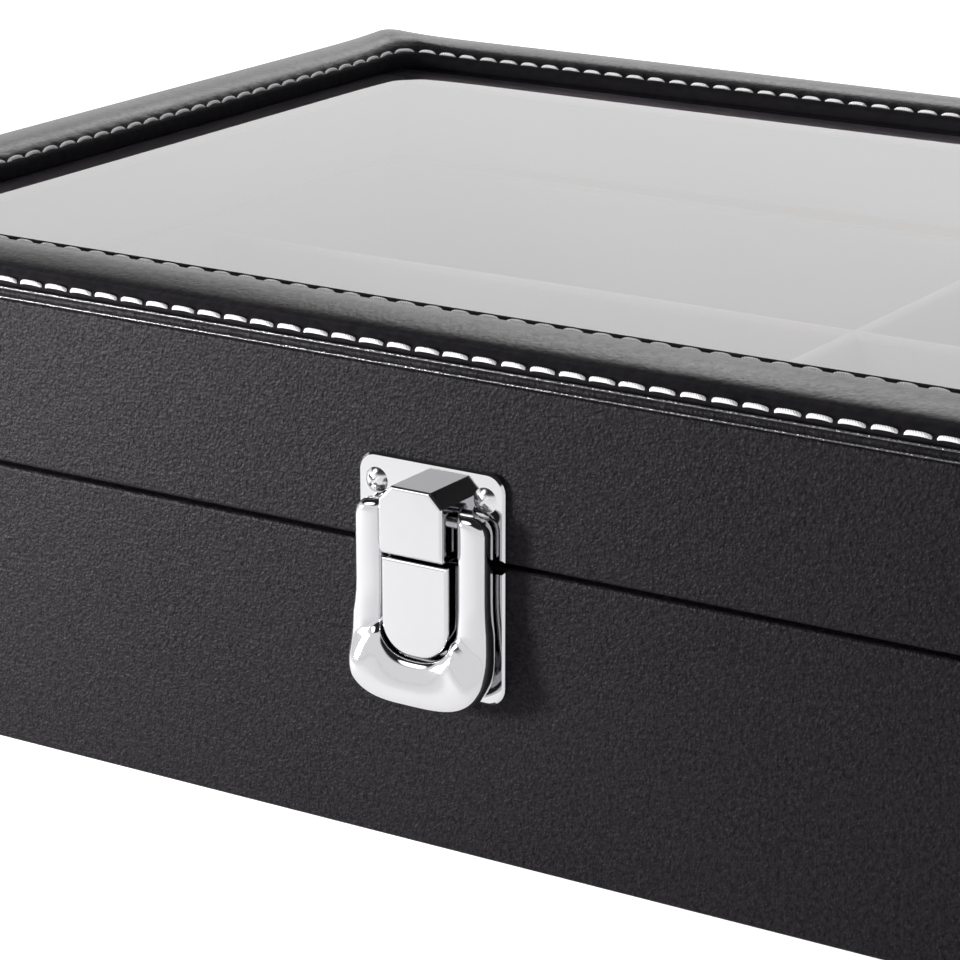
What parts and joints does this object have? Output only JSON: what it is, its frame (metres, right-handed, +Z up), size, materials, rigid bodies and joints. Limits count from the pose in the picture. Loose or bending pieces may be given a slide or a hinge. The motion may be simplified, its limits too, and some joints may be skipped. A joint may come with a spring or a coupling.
{
  "type": "watch box",
  "caption": "Rectangular leatherette storage box with velvet-lined compartments, a hinged glazed lid with a stitched padded edge, and a chrome hasp latch.",
  "frame": {"origin": "centre of the underside, on the surface the box stands on, measured between the outer wall faces", "axes": "+X to the right along the front, +Y towards the hinges at the back, +Z up"},
  "size_m": [0.3, 0.2206, 0.0806],
  "materials": {
    "fibreboard": "raw board, hidden under the skins",
    "hardboard": "raw board, hidden between the felt and the pad",
    "leatherette": "fine matte grain",
    "padded_leather": "smooth satin, softly padded",
    "felt": "short pressed nap",
    "velvet": "pale warm grey short pile",
    "glass": "clear float glass, polished",
    "chrome": "polished",
    "pin_steel": "drawn bright pin",
    "screw_steel": "polished, cross recess",
    "hinge_steel": "satin nickel",
    "thread": "waxed white sewing thread"
  },
  "bodies": {
    "base": {"base_wall_front": "fibreboard", "base_wall_back": "fibreboard", "base_wall_left": "fibreboard", "base_wall_right": "fibreboard", "base_bottom_board": "hardboard", "base_leatherette": "leatherette", "underside_felt": "felt", "base_lining_front": "velvet", "base_lining_back": "velvet", "base_lining_left": "velvet", "base_lining_right": "velvet", "floor_pad": "velvet", "long_divider_front": "velvet", "long_divider_back": "velvet", "cross_divider": "velvet", "latch_base_plate": "chrome", "latch_base_screws": "screw_steel", "hinge_base_leaf_left": "hinge_steel", "hinge_base_leaf_right": "hinge_steel", "hinge_pin_left": "pin_steel", "hinge_pin_right": "pin_steel", "hinge_screws_base": "screw_steel"},
    "lid": {"lid_wall_front": "fibreboard", "lid_wall_back": "fibreboard", "lid_wall_left": "fibreboard", "lid_wall_right": "fibreboard", "lid_lining_front": "velvet", "lid_lining_back": "velvet", "lid_lining_left": "velvet", "lid_lining_right": "velvet", "glass_retainer_front": "velvet", "glass_retainer_back": "velvet", "glass_retainer_left": "velvet", "glass_retainer_right": "velvet", "lid_leatherette": "leatherette", "lid_top_frame": "leatherette", "padded_roll": "padded_leather", "glass_pane": "glass", "latch_lid_plate": "chrome", "latch_pin": "pin_steel", "latch_lid_screws": "screw_steel", "hinge_lid_leaf_left": "hinge_steel", "hinge_lid_leaf_right": "hinge_steel", "hinge_screws_lid": "screw_steel"},
    "latch_flap": {"latch_flap": "chrome", "latch_tongue": "chrome"}
  },
  "joints": [
    {"name": "lid_hinge", "type": "hinge", "parent": "base", "child": "lid", "pos_m": [0, 0.1066, 0.0473], "axis": [-1, 0, 0], "range_deg": [0, 100]},
    {"name": "latch_pivot", "type": "hinge", "parent": "lid", "child": "latch_flap", "pos_m": [0, -0.1072, 0.0536], "axis": [-1, 0, 0], "range_deg": [0, 165]}
  ]
}
